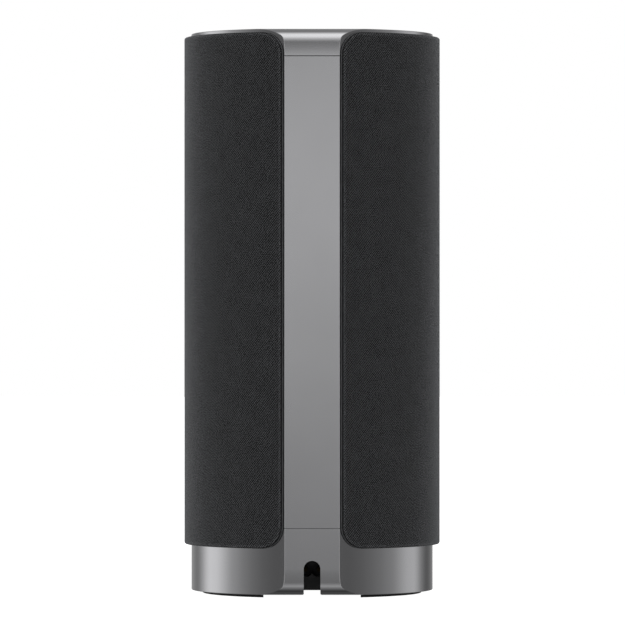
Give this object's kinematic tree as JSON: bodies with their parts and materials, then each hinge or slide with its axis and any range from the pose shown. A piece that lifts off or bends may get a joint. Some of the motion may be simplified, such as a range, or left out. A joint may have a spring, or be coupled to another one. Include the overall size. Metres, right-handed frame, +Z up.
{
  "type": "smart speaker",
  "caption": "Tall round smart speaker: dark woven cover over a grey aluminium column with a flat rear spine, cable notch, top buttons and drivers inside.",
  "frame": {"origin": "on the floor under the column's axis", "axes": "+Z up; the flat spine and the cable notch face -Y; the drivers face +Y"},
  "size_m": [0.1282, 0.1264, 0.28],
  "materials": {
    "column_aluminium": "satin anodised, dark grey",
    "cover_cloth": "woven twill polyester",
    "carrier_plastic": "moulded",
    "base_plastic": "moulded, fine texture",
    "panel_plastic": "moulded, soft touch",
    "diffuser_plastic": "translucent white",
    "foot_rubber": "matt",
    "seal_rubber": "matt",
    "inlet_plastic": "moulded",
    "pin_brass": "turned",
    "screw_steel": "zinc plated, black",
    "circuit_board": "solder resist",
    "part_black": "moulded components",
    "can_steel": "tinned",
    "sink_aluminium": "extruded",
    "cabinet_plastic": "moulded",
    "basket_steel": "powder coated",
    "motor_steel": "zinc plated",
    "magnet_ferrite": "sintered ferrite",
    "cone_paper": "pressed pulp",
    "driver_cloth": "impregnated weave",
    "cable_sheath": "soft"
  },
  "bodies": {
    "column": {"base_shell": "column_aluminium", "spine_panel": "column_aluminium", "top_cap": "column_aluminium", "grille_carrier": "carrier_plastic", "grille_cloth": "cover_cloth", "rubber_foot": "foot_rubber", "base_plate": "base_plastic", "cable_tray": "base_plastic", "power_inlet": "inlet_plastic", "inlet_pins": "pin_brass", "psu_board": "circuit_board", "transformer": "part_black", "psu_capacitors": "part_black", "board_screws": "screw_steel", "lower_deck": "cabinet_plastic", "main_board": "circuit_board", "shield_cans": "can_steel", "heat_sink": "sink_aluminium", "board_connectors": "part_black", "ribbon_cable": "cable_sheath", "cabinet_front": "cabinet_plastic", "cabinet_rear": "cabinet_plastic", "cabinet_gasket": "seal_rubber", "wire_grommet": "seal_rubber", "woofer_gasket": "seal_rubber", "woofer_basket": "basket_steel", "woofer_top_plate": "motor_steel", "woofer_magnet": "magnet_ferrite", "woofer_yoke": "motor_steel", "woofer_surround": "seal_rubber", "woofer_spider": "driver_cloth", "driver_screws": "screw_steel", "tweeter_faceplate": "cabinet_plastic", "tweeter_motor": "motor_steel", "radiator_frame_left": "cabinet_plastic", "radiator_frame_right": "cabinet_plastic", "radiator_surround_left": "seal_rubber", "radiator_surround_right": "seal_rubber", "woofer_lead": "cable_sheath", "upper_deck": "cabinet_plastic", "top_board": "circuit_board", "tact_switches": "part_black", "light_leds": "diffuser_plastic", "microphones": "can_steel", "mic_seals": "seal_rubber", "light_ring": "diffuser_plastic", "control_panel": "panel_plastic", "base_screws": "screw_steel", "top_screws": "screw_steel", "cabinet_screws": "screw_steel"},
    "woofer_cone_body": {"woofer_cone": "cone_paper", "woofer_dust_cap": "cone_paper", "voice_coil": "pin_brass"},
    "tweeter_dome_body": {"tweeter_dome": "driver_cloth"},
    "radiator_left_body": {"radiator_plate_left": "cone_paper"},
    "radiator_right_body": {"radiator_plate_right": "cone_paper"},
    "volume_up_body": {"button_volume_up": "panel_plastic"},
    "volume_down_body": {"button_volume_down": "panel_plastic"},
    "action_body": {"button_action": "panel_plastic"},
    "mic_mute_body": {"button_mic_mute": "panel_plastic"}
  },
  "joints": [
    {"name": "woofer_stroke", "type": "slide", "parent": "column", "child": "woofer_cone_body", "axis": [0, 1, 0], "range_m": [-0.003, 0.003], "stiffness_N_per_m": 1500, "deforming": ["woofer_surround", "woofer_spider"]},
    {"name": "tweeter_stroke", "type": "slide", "parent": "column", "child": "tweeter_dome_body", "axis": [0, 1, 0], "range_m": [-0.00025, 0.00025], "stiffness_N_per_m": 2000},
    {"name": "radiator_left_stroke", "type": "slide", "parent": "column", "child": "radiator_left_body", "axis": [-1, 0, 0], "range_m": [-0.004, 0.004], "stiffness_N_per_m": 800, "deforming": ["radiator_surround_left"]},
    {"name": "radiator_right_stroke", "type": "slide", "parent": "column", "child": "radiator_right_body", "axis": [1, 0, 0], "range_m": [-0.004, 0.004], "stiffness_N_per_m": 800, "deforming": ["radiator_surround_right"]},
    {"name": "volume_up_press", "type": "slide", "parent": "column", "child": "volume_up_body", "axis": [0, 0, -1], "range_m": [0, 0.0005], "stiffness_N_per_m": 1500},
    {"name": "volume_down_press", "type": "slide", "parent": "column", "child": "volume_down_body", "axis": [0, 0, -1], "range_m": [0, 0.0005], "stiffness_N_per_m": 1500},
    {"name": "action_press", "type": "slide", "parent": "column", "child": "action_body", "axis": [0, 0, -1], "range_m": [0, 0.0005], "stiffness_N_per_m": 1500},
    {"name": "mic_mute_press", "type": "slide", "parent": "column", "child": "mic_mute_body", "axis": [0, 0, -1], "range_m": [0, 0.0005], "stiffness_N_per_m": 1500}
  ]
}
